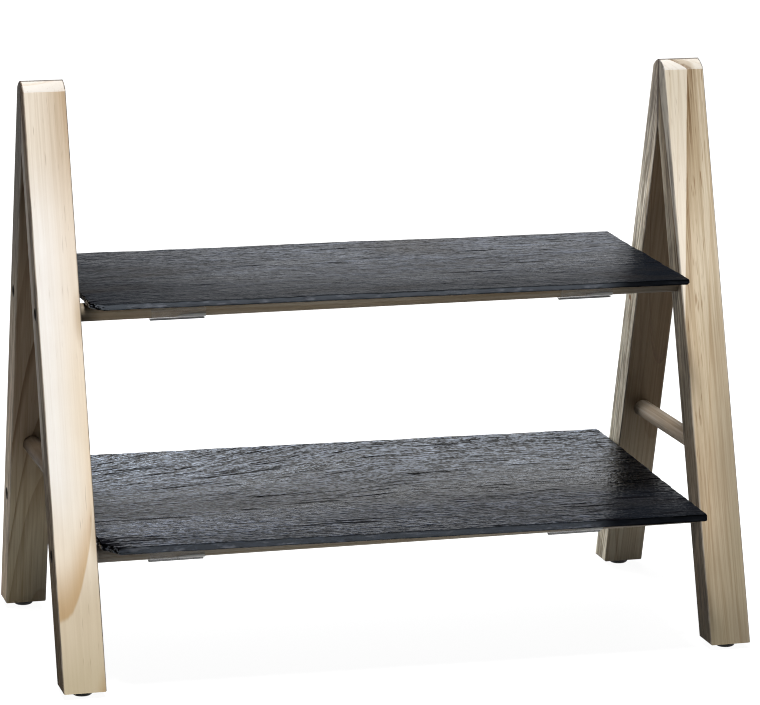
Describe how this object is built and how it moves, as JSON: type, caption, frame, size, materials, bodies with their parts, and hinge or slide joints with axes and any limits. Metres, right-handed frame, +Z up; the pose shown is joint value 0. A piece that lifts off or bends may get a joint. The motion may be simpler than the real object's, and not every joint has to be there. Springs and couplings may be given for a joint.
{
  "type": "tiered cake stand",
  "caption": "Ladder-style cake stand: pine A-frames joined by round dowels carry loose slate boards, the upper one shallower, on clear clips.",
  "frame": {"origin": "on the table, midway between the A-frames and between the front and back feet", "axes": "+X along the boards to the right end, +Y from front to back, +Z up"},
  "size_m": [0.464, 0.2744, 0.381],
  "materials": {
    "pine": "planed, clear matt oil",
    "dowel_wood": "turned, clear matt oil",
    "slate": "riven face, oiled",
    "foot_rubber": "matt black",
    "clear_plastic": "clear, glossy",
    "screw_steel": "black oxide"
  },
  "bodies": {
    "stand": {"left_front_leg": "pine", "left_rear_leg": "pine", "right_front_leg": "pine", "right_rear_leg": "pine", "left_rung": "dowel_wood", "right_rung": "dowel_wood", "left_apex_tenon": "dowel_wood", "right_apex_tenon": "dowel_wood", "upper_front_dowel": "dowel_wood", "upper_rear_dowel": "dowel_wood", "lower_front_dowel": "dowel_wood", "lower_rear_dowel": "dowel_wood", "left_front_foot": "foot_rubber", "left_rear_foot": "foot_rubber", "right_front_foot": "foot_rubber", "right_rear_foot": "foot_rubber", "upper_front_left_clip": "clear_plastic", "upper_front_right_clip": "clear_plastic", "upper_rear_left_clip": "clear_plastic", "upper_rear_right_clip": "clear_plastic", "lower_front_left_clip": "clear_plastic", "lower_front_right_clip": "clear_plastic", "lower_rear_left_clip": "clear_plastic", "lower_rear_right_clip": "clear_plastic", "dowel_screws": "screw_steel"},
    "upper_board": {"upper_slate": "slate"},
    "lower_board": {"lower_slate": "slate"}
  },
  "joints": [
    {"name": "upper_board_lift", "type": "slide", "parent": "stand", "child": "upper_board", "axis": [0, 0, 1], "range_m": [0, 0.12]},
    {"name": "lower_board_lift", "type": "slide", "parent": "stand", "child": "lower_board", "axis": [0, 0, 1], "range_m": [0, 0.1]}
  ]
}
